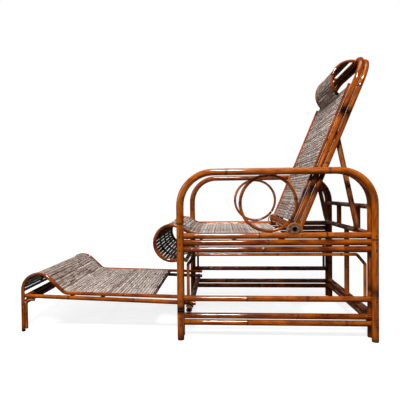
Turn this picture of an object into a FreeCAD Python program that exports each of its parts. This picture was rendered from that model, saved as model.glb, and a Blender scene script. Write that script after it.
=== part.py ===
import FreeCAD, Part
import math
import os

# A bamboo folding recliner. X is the width with the sitter's left on the plus side,
# Y runs from the foot end to the head end, and Z is up from the floor.
# While it is being put together Y is zero at the front legs, and the whole chair is
# moved at the end so that Y is zero at the middle of its length.

# Side frames
arm_height = 640.0
leg_spacing = 713.0
hoop_half_width = 311.0
arm_corner_radius = 126.0
outer_pole = 26.0
inner_pole = 22.0
rail_pole = 22.5
seat_rail_height = 386.8
seat_rail_pitch = 25.8
middle_rail_height = 148.8
lower_rail_height = 58.0
lower_rail_pitch = 25.3
fret_pole = 12.5
fret_gap = 1.6
fret_post_inset = 27.5
fret_corner_inset = 57.0
fret_corner_drop = 36.0
fret_bend = 12.0
ring_outer_radius = 111.0
ring_pole = 13.0
ring_strap_gap = 0.989

# Cross bars of the base
rear_bar_pole = 25.0
rear_upper_bar_height = 90.4
rear_lower_bar_height = 64.6
rear_seat_bar_pole = 20.0
rear_seat_bar_forward = 6.0
rear_seat_bar_height = 393.0
rear_top_bar_pole = 20.0
rear_top_bar_forward = 7.0
rear_top_bar_height = 492.5
rear_post_pole = 22.0
rear_top_post_places = (-98.0, 146.0)
rear_centre_post_place = 9.0
rear_post_forward = 4.0
cross_bar_pole = 18.0

# Seat and its rolled front edge
seat_pole = 15.0
seat_rear = 395.0
seat_pole_height = 387.0
seat_rise_bend = 80.0
seat_rise_angle = 30.0
scroll_middle = -38.0
scroll_middle_height = 355.0
scroll_outer_radius = 77.0
scroll_tail_angle = 8.0
tail_bar_pole = 16.0

# Slats and the strips below them
seat_slat_pitch = 12.8
back_slat_pitch = 12.6
headrest_slat_pitch = 12.0
footrest_slat_pitch = 12.9
slat_width = 10.2
slat_thickness = 3.5
slat_sink = 4.0
headrest_slat_sink = 3.0
batten_width = 18.0
batten_thickness = 4.0
batten_gap = 0.4
seat_batten_places = (-124.0, 0.0, 124.0)
back_batten_places = (-80.0, 80.0)
footrest_batten_places = (-90.0, 90.0)

# Back
back_angle = 67.3
pivot_place = 428.5
pivot_height = 411.0
pivot_pole = 38.0
pivot_overhang = 10.1
pivot_bore = 22.0
pivot_bore_depth = 60.0
back_length = 737.0
back_corner_radius = 108.0
front_hoop_pole = 23.0
front_hoop_offset = 6.8
rear_hoop_pole = 20.0
post_end = 6.0
cover_pole = 11.5
back_slats_start = 24.0
back_slats_end = 590.0

# Straps that hold the back's pivot pole down
strap_width = 14.0
strap_thickness = 5.0
strap_side_play = 5.3
strap_top_play = 0.6
strap_foot_depth = 8.0

# Headrest roll
headrest_offset = 13.0
headrest_place = 650.0
headrest_outer_radius = 84.0
headrest_ring_place = 125.0
headrest_ring_pole = 12.5
headrest_low_angle = -72.0
headrest_high_angle = 70.0

# Prop behind the back
prop_pole = 21.0
prop_half_width = 215.0
prop_hinge_place = 398.0
prop_hinge_offset = 27.0
prop_hinge_pole = 12.0
prop_foot_place = 684.0
prop_foot_height = 398.0
prop_corner_radius = 36.0
prop_end_overhang = 14.0
prop_tenon = 10.0

# Pull-out footrest
footrest_pole = 15.0
footrest_leg_place = -647.0
footrest_hump_height = 165.0
footrest_hump_radius = 66.0
footrest_hump_angle = 43.0
footrest_dip_radius = 35.0
footrest_dip_height = 155.4
footrest_tail = 52.0
footrest_tail_height = 141.0
footrest_slats_end = -116.0
footrest_first_slat_drop = 6.0
footrest_low_pole = 17.0
footrest_low_front_height = 144.0
footrest_low_tail_height = 118.0
footrest_brace_pole = 12.0
footrest_brace_bottom = 12.0
footrest_brace_bend = 20.0
footrest_brace_reach = 34.0
footrest_bar_pole = 14.0
footrest_low_bar_place = -330.0
footrest_front_bar_pole = 20.0
footrest_front_bar_place = -634.0
footrest_front_bar_height = 141.4
slide_bar_pole = 23.0
slide_bar_place = 30.0
slide_bar_bore = 14.0
footrest_loop_thickness = 4.0
footrest_loop_width = 12.0

# Nails
nail = 3.0
nail_head = 5.0
nail_head_height = 1.2
strap_nail_length = 12.0

# Clearances: poles that are nailed together, pieces that slide past, and turning fits
touch = 0.1
slide_gap = 0.3
side_play = 1.0
turning_fit = 0.06

# Places that follow from the sizes above
rail_x = hoop_half_width - (outer_pole + rail_pole) / 2 - touch
inner_hoop_x = rail_x - (rail_pole + inner_pole) / 2 - touch
inside_x = inner_hoop_x - inner_pole / 2
rail_end_x = rail_x - rail_pole / 2
seat_rail_heights = [seat_rail_height - seat_rail_pitch * i for i in range(3)]
lower_rail_heights = [lower_rail_height + lower_rail_pitch * i for i in range(2)]
seat_rail_top = seat_rail_height + rail_pole / 2
seat_pole_x = inside_x - side_play - seat_pole / 2
footrest_x = inside_x - 2 * side_play - footrest_pole / 2
post_x = inside_x - side_play - front_hoop_pole / 2
rear_hoop_offset = front_hoop_offset + (front_hoop_pole + rear_hoop_pole) / 2 + touch
seat_slat_half = seat_pole_x - seat_pole / 2 - touch
footrest_slat_half = footrest_x - footrest_pole / 2 - touch
back_slat_half = post_x - cover_pole / 2 - touch
pivot_half_length = rail_x + pivot_overhang
headrest_slat_half = headrest_ring_place - headrest_ring_pole / 2 - touch

V = FreeCAD.Vector
nodes = {}
across = V(1, 0, 0)


def keep(name, *solids):
    nodes[name] = list(solids)


def bent_wire(stops):
    """Straight runs through the stops, each (point, bend radius), joined by tangent arcs."""
    edges = []
    start = stops[0][0]
    for (before, _), (corner, radius), (after, _) in zip(stops, stops[1:], stops[2:]):
        back = (before - corner).normalize()
        on = (after - corner).normalize()
        half = back.getAngle(on) / 2
        reach = radius / math.tan(half)
        first = corner + back * reach
        last = corner + on * reach
        middle = corner + (back + on).normalize() * (radius / math.sin(half) - radius)
        edges.append(Part.LineSegment(start, first).toShape())
        edges.append(Part.Arc(first, middle, last).toShape())
        start = last
    edges.append(Part.LineSegment(start, stops[-1][0]).toShape())
    return Part.Wire(edges)


def swept_pole(wire, diameter):
    first = wire.Edges[0]
    circle = Part.makeCircle(diameter / 2, first.valueAt(first.FirstParameter),
                             first.tangentAt(first.FirstParameter))
    return wire.makePipeShell([Part.Wire(circle)], True, False)


def swept_strip(wire, width, thickness):
    """A flat strip, wide across the chair, whose middle line is the wire."""
    first = wire.Edges[0]
    start = first.valueAt(first.FirstParameter)
    up = first.tangentAt(first.FirstParameter).cross(across) * (thickness / 2)
    side = across * (width / 2)
    corners = [start + side + up, start - side + up, start - side - up, start + side - up]
    return wire.makePipeShell([Part.makePolygon(corners + corners[:1])], True, False)


def straight_pole(start, end, diameter, bore=0.0, bore_depth=0.0):
    run = end - start
    shape = Part.makeCylinder(diameter / 2, run.Length, start, run)
    if bore:
        way = V(run).normalize() * bore_depth
        shape = shape.cut(Part.makeCylinder(bore / 2, bore_depth, start, way))
        shape = shape.cut(Part.makeCylinder(bore / 2, bore_depth, end, way * -1))
    return shape.Solids[0]


def cross_pole(half_length, y, z, diameter, bore=0.0, bore_depth=0.0):
    return straight_pole(V(-half_length, y, z), V(half_length, y, z), diameter, bore, bore_depth)


def trimmed(shape, *tools):
    """The largest solid that is left of a shape when others are cut out of it."""
    for tool in tools:
        shape = shape.cut(tool)
    return max(shape.Solids, key=lambda solid: solid.Volume)


def arc_in_side(x, y, z, radius, start_angle, end_angle):
    """An arc seen from the side, with its angles measured from straight up towards the head end."""
    def at(angle):
        turn = math.radians(angle)
        return V(x, y + radius * math.sin(turn), z + radius * math.cos(turn))
    return Part.Arc(at(start_angle), at((start_angle + end_angle) / 2), at(end_angle)).toShape()


def place_along(wire, distance):
    for edge in wire.Edges:
        if distance <= edge.Length:
            value = edge.getParameterByLength(distance)
            return edge.valueAt(value), edge.tangentAt(value)
        distance -= edge.Length
    return edge.valueAt(edge.LastParameter), edge.tangentAt(edge.LastParameter)


def slat(point, tangent, outward_turn, lift, half_length):
    """A slat across the chair, laid on a line seen from the side at a lift above the line."""
    outward = tangent.cross(across) * outward_turn
    box = Part.makeBox(2 * half_length, slat_width, slat_thickness,
                       V(-half_length, -slat_width / 2, 0))
    angle = math.degrees(math.atan2(-outward.y, outward.z))
    box.Placement = FreeCAD.Placement(V(0, point.y, point.z) + outward * lift,
                                      FreeCAD.Rotation(across, angle))
    return box


def slats_along(wire, start, end, pitch, outward_turn, lift, half_length):
    count = int((end - start - slat_width) / pitch) + 1
    row = []
    for i in range(count):
        point, tangent = place_along(wire, start + slat_width / 2 + i * pitch)
        row.append(slat(point, tangent, outward_turn, lift, half_length))
    return row


def sides():
    return (("left", 1), ("right", -1))


# Side frames: two bent hoops side by side on each side, with the rails held between them
def arm_hoop(x, diameter):
    top = arm_height - outer_pole / 2
    return swept_pole(bent_wire([(V(x, 0, 0), None), (V(x, 0, top), arm_corner_radius),
                                 (V(x, leg_spacing, top), arm_corner_radius),
                                 (V(x, leg_spacing, 0), None)]), diameter)


def rail_nail(side, y, z):
    outside = hoop_half_width + outer_pole / 2
    inside = rail_x - rail_pole / 4
    shank = Part.makeCylinder(nail / 2, outside - inside, V(side * inside, y, z), across * side)
    head = Part.makeCylinder(nail_head / 2, nail_head_height, V(side * outside, y, z), across * side)
    return shank.fuse(head).removeSplitter().Solids[0]


def strap_nail(side, y):
    face = rail_x + rail_pole / 2
    shank = Part.makeCylinder(nail / 2, strap_nail_length,
                              V(side * face, y, seat_rail_height), across * -side)
    head = Part.makeCylinder(nail_head / 2, nail_head_height,
                             V(side * face, y, seat_rail_height), across * side)
    return shank.fuse(head).removeSplitter().Solids[0]


strap_inner = pivot_pole / 2 + strap_side_play
strap_outer = strap_inner + strap_thickness
strap_arch_height = pivot_height + pivot_pole / 2 + strap_top_play - strap_inner
strap_middle = (strap_inner + strap_outer) / 2
strap_foot = seat_rail_top - strap_foot_depth
ring_height = seat_rail_top + touch + ring_outer_radius
ring_to_strap = ring_outer_radius + ring_strap_gap + strap_outer
ring_middle = pivot_place - math.sqrt(ring_to_strap ** 2 - (ring_height - strap_arch_height) ** 2)


def pivot_strap(x):
    """A bent flat strap over the pole, with both feet let into the top rail."""
    runs = [Part.LineSegment(V(x, pivot_place - strap_middle, strap_foot),
                             V(x, pivot_place - strap_middle, strap_arch_height)).toShape(),
            arc_in_side(x, pivot_place, strap_arch_height, strap_middle, -90, 90),
            Part.LineSegment(V(x, pivot_place + strap_middle, strap_arch_height),
                             V(x, pivot_place + strap_middle, strap_foot)).toShape()]
    return swept_strip(Part.Wire(runs), strap_width, strap_thickness)


def fret(x):
    """One thin pole: up from the middle rail, under the seat rails and down again."""
    foot = middle_rail_height + rail_pole / 2 + touch
    top = seat_rail_heights[2] - rail_pole / 2 - fret_gap - fret_pole / 2
    shoulder = top - fret_corner_drop
    front = fret_post_inset
    rear = leg_spacing - fret_post_inset
    return swept_pole(bent_wire([
        (V(x, front, foot), None), (V(x, front, shoulder), fret_bend),
        (V(x, fret_corner_inset, top), fret_bend),
        (V(x, leg_spacing - fret_corner_inset, top), fret_bend),
        (V(x, rear, shoulder), fret_bend), (V(x, rear, foot), None)]), fret_pole)


pivot_seat = cross_pole(pivot_half_length, pivot_place, pivot_height, pivot_pole + 2 * slide_gap)
all_nails = []
inner_hoops = []
for name, side in sides():
    rail_heights = seat_rail_heights + [middle_rail_height] + lower_rail_heights
    nails = [rail_nail(side, y, z) for y in (0, leg_spacing) for z in rail_heights]
    strap_nails = [strap_nail(side, pivot_place + way * strap_middle) for way in (-1, 1)]
    all_nails += nails + strap_nails
    strap = pivot_strap(side * rail_x)
    keep(name + "_outer_hoop", trimmed(arm_hoop(side * hoop_half_width, outer_pole), *nails))
    inner_hoops.append(arm_hoop(side * inner_hoop_x, inner_pole))
    keep(name + "_inner_hoop", inner_hoops[-1])
    rail_names = ["seat_rail_upper", "seat_rail_middle", "seat_rail_lower", "middle_rail",
                  "lower_rail_bottom", "lower_rail_top"]
    for rail_name, z in zip(rail_names, rail_heights):
        rail = straight_pole(V(side * rail_x, -rail_pole / 2, z),
                             V(side * rail_x, leg_spacing + rail_pole / 2, z), rail_pole)
        if rail_name == "seat_rail_upper":
            rail = trimmed(rail, pivot_seat, strap, *strap_nails)
        keep(name + "_" + rail_name, trimmed(rail, *[n for n in nails if abs(n.BoundBox.Center.z - z) < 1]))
    keep(name + "_pivot_strap", trimmed(strap, *strap_nails))
    keep(name + "_fret_pole", fret(side * rail_x))
    ring_radius = ring_outer_radius - ring_pole / 2
    keep(name + "_arm_ring", Part.makeTorus(ring_radius, ring_pole / 2,
                                            V(side * rail_x, ring_middle, ring_height), across))
keep("frame_nails", *all_nails)


# Bars and posts that tie the two side frames together at the rear
def rear_bar(y, z, diameter):
    return trimmed(cross_pole(inner_hoop_x, y, z, diameter), *inner_hoops)


rear_seat_bar_y = leg_spacing - rear_seat_bar_forward
rear_top_bar_y = leg_spacing - rear_top_bar_forward
rear_post_y = leg_spacing - rear_post_forward
keep("rear_seat_bar", rear_bar(rear_seat_bar_y, rear_seat_bar_height, rear_seat_bar_pole))
keep("rear_top_bar", rear_bar(rear_top_bar_y, rear_top_bar_height, rear_top_bar_pole))
keep("rear_lower_bars", rear_bar(leg_spacing, rear_upper_bar_height, rear_bar_pole),
     rear_bar(leg_spacing, rear_lower_bar_height, rear_bar_pole))


def rear_post(x, low_bar, low_height, high_bar, high_height):
    post = straight_pole(V(x, rear_post_y, low_height), V(x, rear_post_y, high_height), rear_post_pole)
    return trimmed(post, low_bar, high_bar)


keep("rear_centre_post", rear_post(rear_centre_post_place, nodes["rear_lower_bars"][0],
                                   rear_upper_bar_height, nodes["rear_seat_bar"][0],
                                   rear_seat_bar_height))
keep("rear_top_posts", *[rear_post(x, nodes["rear_seat_bar"][0], rear_seat_bar_height,
                                   nodes["rear_top_bar"][0], rear_top_bar_height)
                         for x in rear_top_post_places])


# Seat: two bent side poles that roll down at the front, with slats on their outside
scroll_radius = scroll_outer_radius - seat_pole / 2


def seat_line(x, offset):
    """The seat pole's line from the pivot forwards and round the roll, moved outwards by offset."""
    radius = scroll_radius + offset
    rise = math.radians(seat_rise_angle)
    flat = seat_pole_height + offset
    leave_y = scroll_middle + radius * math.sin(rise)
    leave_z = scroll_middle_height + radius * math.cos(rise)
    corner_y = leave_y + (leave_z - flat) / math.tan(rise)
    lead = bent_wire([(V(x, seat_rear, flat), None), (V(x, corner_y, flat), seat_rise_bend - offset),
                      (V(x, leave_y, leave_z), None)])
    front = arc_in_side(x, scroll_middle, scroll_middle_height, radius, seat_rise_angle, -90)
    under = arc_in_side(x, scroll_middle, scroll_middle_height, radius, -90, -180 - scroll_tail_angle)
    start = under.valueAt(under.LastParameter)
    way = under.tangentAt(under.LastParameter)
    bar_y = inner_pole / 2 + touch + tail_bar_pole / 2
    run = (bar_y - tail_bar_pole / 2 - touch - start.y) / way.y
    tail = Part.LineSegment(start, start + way * run).toShape()
    return Part.Wire(lead.Edges + [front, under, tail])


seat_middle_line = seat_line(0, 0)
tail_end = seat_middle_line.Edges[-1].valueAt(seat_middle_line.Edges[-1].LastParameter)
scroll_bar = cross_pole(rail_end_x - touch, inner_pole / 2 + touch + tail_bar_pole / 2,
                        tail_end.z, tail_bar_pole)
keep("scroll_bar", scroll_bar)
for name, side in sides():
    keep(name + "_seat_pole", trimmed(swept_pole(seat_line(side * seat_pole_x, 0), seat_pole), scroll_bar))
slat_lift = seat_pole / 2 - slat_sink - slat_thickness
strip_lift = slat_lift - batten_gap - batten_thickness / 2
keep("seat_battens", *[swept_strip(seat_line(x, strip_lift), batten_width, batten_thickness)
                       for x in seat_batten_places])
seat_edges = seat_middle_line.Edges
flat_length = seat_edges[0].Length
whole_length = seat_middle_line.Length - seat_slat_pitch
seat_count = int((flat_length - slat_width) / seat_slat_pitch) + 1
keep("seat_slats", *slats_along(seat_middle_line, 0, flat_length, seat_slat_pitch, 1,
                                 slat_lift, seat_slat_half))
keep("scroll_slats", *slats_along(seat_middle_line, seat_count * seat_slat_pitch, whole_length,
                                  seat_slat_pitch, 1, slat_lift, seat_slat_half))

# Three bars under the seat, from rail to rail
bar_drop = (seat_pole + cross_bar_pole) / 2 + touch
rise = math.radians(seat_rise_angle)
front_bar_y = (inner_pole + cross_bar_pole) / 2 + side_play * 3
lean_y = front_bar_y + bar_drop * math.sin(rise)
leave = seat_edges[2].valueAt(seat_edges[2].LastParameter)
front_bar_z = leave.z - (lean_y - leave.y) * math.tan(rise) - bar_drop * math.cos(rise)
flat_bar_z = seat_pole_height - bar_drop
rear_bar_y = seat_rear - cross_bar_pole / 2
keep("seat_cross_bars", *[cross_pole(rail_end_x - slide_gap, y, z, cross_bar_pole)
                          for y, z in ((front_bar_y, front_bar_z),
                                       ((front_bar_y + rear_bar_y) / 2, flat_bar_z),
                                       (rear_bar_y, flat_bar_z))])

# Back: everything here is laid out upright on the pivot and then leaned to its angle.
# The offset is measured rearwards and the place upwards along the back.
back_lean = FreeCAD.Placement(V(0, pivot_place, pivot_height),
                              FreeCAD.Rotation(across, back_angle - 90))


def leaned(shape):
    shape.Placement = back_lean.multiply(shape.Placement)
    return shape


hoop_top = back_length - front_hoop_pole / 2
pivot_solid = cross_pole(pivot_half_length, 0, 0, pivot_pole)


def back_hoop(offset, diameter, foot):
    return swept_pole(bent_wire([(V(post_x, offset, foot), None),
                                 (V(post_x, offset, hoop_top), back_corner_radius),
                                 (V(-post_x, offset, hoop_top), back_corner_radius),
                                 (V(-post_x, offset, foot), None)]), diameter)


hinge_reach = post_x - rear_hoop_pole / 2 + prop_tenon
hinge_pole = cross_pole(hinge_reach, prop_hinge_offset, prop_hinge_place, prop_hinge_pole)
front_hoop = back_hoop(front_hoop_offset, front_hoop_pole, post_end)
rear_hoop = back_hoop(rear_hoop_offset, rear_hoop_pole, 0)
slat_back = front_hoop_offset - front_hoop_pole / 2 - touch
slat_front = slat_back - slat_thickness
cover_offset = front_hoop_offset - (front_hoop_pole + cover_pole) / 2 - touch
cover_start = math.sqrt((pivot_pole / 2 + cover_pole / 2 + touch) ** 2 - cover_offset ** 2)

keep("pivot_pole", leaned(cross_pole(pivot_half_length, 0, 0, pivot_pole, pivot_bore, pivot_bore_depth)))
keep("back_front_hoop", leaned(trimmed(front_hoop, pivot_solid, hinge_pole)))
keep("back_rear_hoop", leaned(trimmed(rear_hoop, pivot_solid, hinge_pole)))
keep("prop_hinge_pole", leaned(hinge_pole))
keep("back_cover_poles", *[leaned(straight_pole(V(x, cover_offset, cover_start),
                                                V(x, cover_offset, back_slats_end), cover_pole))
                           for x in (-post_x, post_x)])
back_line = Part.Wire([Part.LineSegment(V(0, slat_back, 0), V(0, slat_back, back_length)).toShape()])
keep("back_slats", *[leaned(row) for row in
                     slats_along(back_line, back_slats_start, back_slats_end, back_slat_pitch, -1, 0,
                                 back_slat_half)])
strip_offset = slat_back + touch + batten_thickness / 2
keep("back_battens", *[leaned(swept_strip(
    bent_wire([(V(x, strip_offset, back_slats_start), None), (V(x, strip_offset, back_slats_end), None)]),
    batten_width, batten_thickness)) for x in back_batten_places])

# Headrest: two bent rings whose lower ends stand on the slats and upper ends meet the top bar
ring_line_radius = headrest_outer_radius - headrest_ring_pole / 2
roll_lift = headrest_ring_pole / 2 - headrest_slat_sink - slat_thickness


def headrest_arc(x, low, high):
    return arc_in_side(x, headrest_offset, headrest_place, ring_line_radius, low - 90, high - 90)


def headrest_ring(x):
    room = (slat_front - touch - headrest_offset) / ring_line_radius
    low = math.degrees(math.acos(room)) - 180
    ring = swept_pole(Part.Wire([headrest_arc(x, low + 3, 0), headrest_arc(x, 0, 88)]),
                      headrest_ring_pole)
    top_bar = cross_pole(post_x, front_hoop_offset, hoop_top, front_hoop_pole + 2 * touch)
    return trimmed(ring, top_bar)


keep("headrest_rings", *[leaned(headrest_ring(x)) for x in (-headrest_ring_place, headrest_ring_place)])
roll_line = Part.Wire([headrest_arc(0, headrest_low_angle, headrest_high_angle)])
keep("headrest_slats", *[leaned(row) for row in
                         slats_along(roll_line, 0, roll_line.Length, headrest_slat_pitch, -1,
                                     roll_lift, headrest_slat_half)])

# Prop: a bent pole whose two upper ends turn on the hinge pole behind the back
hinge_point = back_lean.multVec(V(0, prop_hinge_offset, prop_hinge_place))
foot_point = V(0, prop_foot_place, prop_foot_height)
prop_way = (foot_point - hinge_point).normalize()
prop_top = hinge_point - prop_way * prop_end_overhang
prop_side = across * prop_half_width
prop = swept_pole(bent_wire([(prop_top + prop_side, None), (foot_point + prop_side, prop_corner_radius),
                             (foot_point - prop_side, prop_corner_radius),
                             (prop_top - prop_side, None)]), prop_pole)
hinge_hole = cross_pole(hinge_reach, hinge_point.y, hinge_point.z, prop_hinge_pole + 2 * turning_fit)
keep("prop", trimmed(prop, hinge_hole))


# Footrest: bent side poles, each a leg, a hump and a long rail in one piece
def footrest_line(x, offset):
    """The side pole's line from the floor over the hump to the tail, moved outwards by offset."""
    radius = footrest_hump_radius + offset
    turn = 90 + footrest_hump_angle
    top_corner = footrest_hump_height + radius * math.tan(math.radians(turn / 2))
    leg_y = footrest_leg_place - offset
    fall = math.radians(footrest_hump_angle)
    middle_y = footrest_leg_place + footrest_hump_radius
    leave_y = middle_y + radius * math.sin(fall)
    leave_z = footrest_hump_height + radius * math.cos(fall)
    dip_y = leave_y + (leave_z - footrest_dip_height - offset) / math.tan(fall)
    return bent_wire([(V(x, leg_y, 0), None), (V(x, leg_y, top_corner), radius),
                      (V(x, dip_y, footrest_dip_height + offset), footrest_dip_radius - offset),
                      (V(x, footrest_tail, footrest_tail_height + offset), None)])


def footrest_low_height(y):
    front = footrest_leg_place + footrest_pole / 2
    share = (y - front) / (footrest_tail - front)
    return footrest_low_front_height + share * (footrest_low_tail_height - footrest_low_front_height)


def low_rail(x):
    front = footrest_leg_place + footrest_pole / 2 + touch
    return straight_pole(V(x, front, footrest_low_height(front)),
                         V(x, footrest_tail, footrest_low_height(footrest_tail)), footrest_low_pole)


def leg_brace(x):
    y = footrest_leg_place + (footrest_pole + footrest_brace_pole) / 2 + touch
    end = y + footrest_brace_reach
    slope = math.atan2(footrest_low_front_height - footrest_low_tail_height, footrest_tail - y)
    top = footrest_low_height(end) - (footrest_low_pole + footrest_brace_pole) / 2 / math.cos(slope) - touch
    return swept_pole(bent_wire([(V(x, y, footrest_brace_bottom), None), (V(x, y, top), footrest_brace_bend),
                                 (V(x, end, top), None)]), footrest_brace_pole)


slide_bar_z = lower_rail_heights[1] + rail_pole / 2 + slide_gap + slide_bar_pole / 2
slide_bar_end = rail_x + rail_pole / 2
slide_bar = cross_pole(slide_bar_end, slide_bar_place, slide_bar_z, slide_bar_pole,
                       slide_bar_bore, pivot_bore_depth)
solid_slide_bar = cross_pole(slide_bar_end, slide_bar_place, slide_bar_z, slide_bar_pole)
keep("footrest_slide_bar", slide_bar)


def bar_loop(x):
    """A bent strap from the low rail round the slide bar, which ties the two together."""
    radius = (slide_bar_pole + footrest_loop_thickness) / 2 + touch
    runs = [arc_in_side(x, slide_bar_place, slide_bar_z, radius, -75, 75)]
    return swept_strip(Part.Wire(runs), footrest_loop_width, footrest_loop_thickness)


for name, side in sides():
    x = side * footrest_x
    keep(name + "_footrest_pole", swept_pole(footrest_line(x, 0), footrest_pole))
    keep(name + "_footrest_low_rail", trimmed(low_rail(x), solid_slide_bar))
    keep(name + "_footrest_brace", leg_brace(x))
loop_x = inner_hoop_x
keep("slide_bar_loops", *[bar_loop(x) for x in (-loop_x, loop_x)])
low_bar_half = footrest_x - footrest_low_pole / 2 - touch
keep("footrest_front_bars", *[
    cross_pole(low_bar_half, footrest_front_bar_place,
               footrest_front_bar_height - i * (footrest_front_bar_pole + touch), footrest_front_bar_pole)
    for i in range(2)])
footrest_middle_line = footrest_line(0, 0)
hump_start = footrest_middle_line.Edges[0].Length - footrest_first_slat_drop
dip_start = sum(edge.Length for edge in footrest_middle_line.Edges[:4])
slats_length = footrest_middle_line.Length - (footrest_tail - footrest_slats_end)
hump_count = int((dip_start - hump_start - slat_width) / footrest_slat_pitch) + 1
footrest_lift = footrest_pole / 2 - slat_sink - slat_thickness
keep("footrest_hump_slats", *slats_along(footrest_middle_line, hump_start, dip_start,
                                         footrest_slat_pitch, -1, footrest_lift, footrest_slat_half))
flat_start = hump_start + hump_count * footrest_slat_pitch
keep("footrest_slats", *slats_along(footrest_middle_line, flat_start, slats_length,
                                    footrest_slat_pitch, -1, footrest_lift, footrest_slat_half))

# A bar at the end of the slats, in line with them, and one lower down between the low rails
flat_count = int((slats_length - flat_start - slat_width) / footrest_slat_pitch) + 1
end_bar, _ = place_along(footrest_middle_line,
                         flat_start + flat_count * footrest_slat_pitch + footrest_bar_pole / 2)
keep("footrest_cross_bars",
     cross_pole(low_bar_half, footrest_low_bar_place, footrest_low_height(footrest_low_bar_place),
                footrest_bar_pole),
     cross_pole(footrest_slat_half, end_bar.y, end_bar.z, footrest_bar_pole))
footrest_strip_lift = footrest_lift - batten_gap - batten_thickness / 2


def footrest_batten(x):
    """A strip under the slats that starts where the hump does and ends at the end bar."""
    line = footrest_line(x, footrest_strip_lift)
    last = line.Edges[-1]
    start = last.valueAt(last.FirstParameter)
    end_place = end_bar.y - footrest_bar_pole / 2 - touch
    end = start + last.tangentAt(last.FirstParameter) * (end_place - start.y)
    runs = line.Edges[1:-1] + [Part.LineSegment(start, end).toShape()]
    return swept_strip(Part.Wire(runs), batten_width, batten_thickness)


keep("footrest_battens", *[footrest_batten(x) for x in footrest_batten_places])

# The furthest the back reclines: its rear hoop then rests on the rear top bar
rest_offset = rear_hoop_offset + rear_hoop_pole / 2 + rear_top_bar_pole / 2 + slide_gap
bar_y = rear_top_bar_y - pivot_place
bar_z = rear_top_bar_height - pivot_height
reclined_angle = math.degrees(math.atan2(bar_z, bar_y) + math.asin(rest_offset / math.hypot(bar_y, bar_z)))
back_travel = back_angle - reclined_angle
prop_opening = math.degrees(math.atan2(prop_way.z, prop_way.y)) - (back_angle - 180)

# The whole chair is moved so that the middle of its length is at zero, and written out
box = FreeCAD.BoundBox()
for solids in nodes.values():
    for solid in solids:
        box.add(solid.optimalBoundingBox(False))
shift = V(0, -box.Center.y, 0)
os.makedirs("parts", exist_ok=True)
for name, solids in nodes.items():
    shape = Part.makeCompound(solids) if len(solids) > 1 else solids[0]
    shape.translate(shift)
    shape.exportStep("parts/" + name + ".step")

print("nodes", len(nodes), "solids", sum(len(solids) for solids in nodes.values()))
print("box", round(box.XLength, 2), round(box.YLength, 2), round(box.ZMin, 3), round(box.ZMax, 2))
print("shift", round(shift.y, 4))
print("pivot", round(pivot_place + shift.y, 4), pivot_height)
print("prop hinge", round(hinge_point.y + shift.y, 4), round(hinge_point.z, 4))
print("back travel", round(back_travel, 3), "prop opening", round(prop_opening, 3))
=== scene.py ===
import bmesh
import bpy
import math
import random
from mathutils import Matrix, Quaternion, Vector


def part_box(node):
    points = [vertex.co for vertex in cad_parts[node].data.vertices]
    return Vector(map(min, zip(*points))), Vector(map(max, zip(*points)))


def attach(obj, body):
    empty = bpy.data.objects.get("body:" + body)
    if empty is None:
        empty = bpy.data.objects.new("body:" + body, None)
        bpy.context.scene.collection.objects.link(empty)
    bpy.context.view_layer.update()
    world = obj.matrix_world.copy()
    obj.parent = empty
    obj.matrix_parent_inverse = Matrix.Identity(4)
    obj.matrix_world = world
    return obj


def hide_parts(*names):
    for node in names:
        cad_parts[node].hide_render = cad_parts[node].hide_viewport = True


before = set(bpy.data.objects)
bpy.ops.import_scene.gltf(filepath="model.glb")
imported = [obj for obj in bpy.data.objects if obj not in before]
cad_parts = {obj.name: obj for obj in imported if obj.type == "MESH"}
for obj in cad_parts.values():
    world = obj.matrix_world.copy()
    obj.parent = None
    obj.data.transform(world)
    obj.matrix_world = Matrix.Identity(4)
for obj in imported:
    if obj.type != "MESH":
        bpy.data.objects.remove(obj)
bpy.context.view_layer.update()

# The camera stands level with the arms on the sitter's left, beside the middle of the
# chair, and looks straight across it, turned a little towards the foot end.
camera_data = bpy.data.cameras.new("camera")
camera_data.lens = 33.8652
camera_data.sensor_width = 36.0
camera = bpy.data.objects.new("camera", camera_data)
bpy.context.scene.collection.objects.link(camera)
bpy.context.scene.camera = camera
hoop_low, hoop_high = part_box("left_outer_hoop")
front_leg_y = hoop_low.y + (hoop_high.x - hoop_low.x) / 2
turn, tilt, roll = -0.05957, -0.01847, -0.01123
ahead = Vector((-math.cos(turn) * math.cos(tilt), math.sin(turn) * math.cos(tilt), math.sin(tilt)))
level = Vector((math.sin(turn), math.cos(turn), 0.0))
upward = level.cross(ahead)
picture_right = level * math.cos(roll) + upward * math.sin(roll)
picture_up = upward * math.cos(roll) - level * math.sin(roll)
stand = Matrix((picture_right, picture_up, -ahead)).transposed().to_4x4()
stand.translation = Vector((1.7102, front_leg_y + 0.160756, 0.54981))
camera.matrix_world = stand


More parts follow.
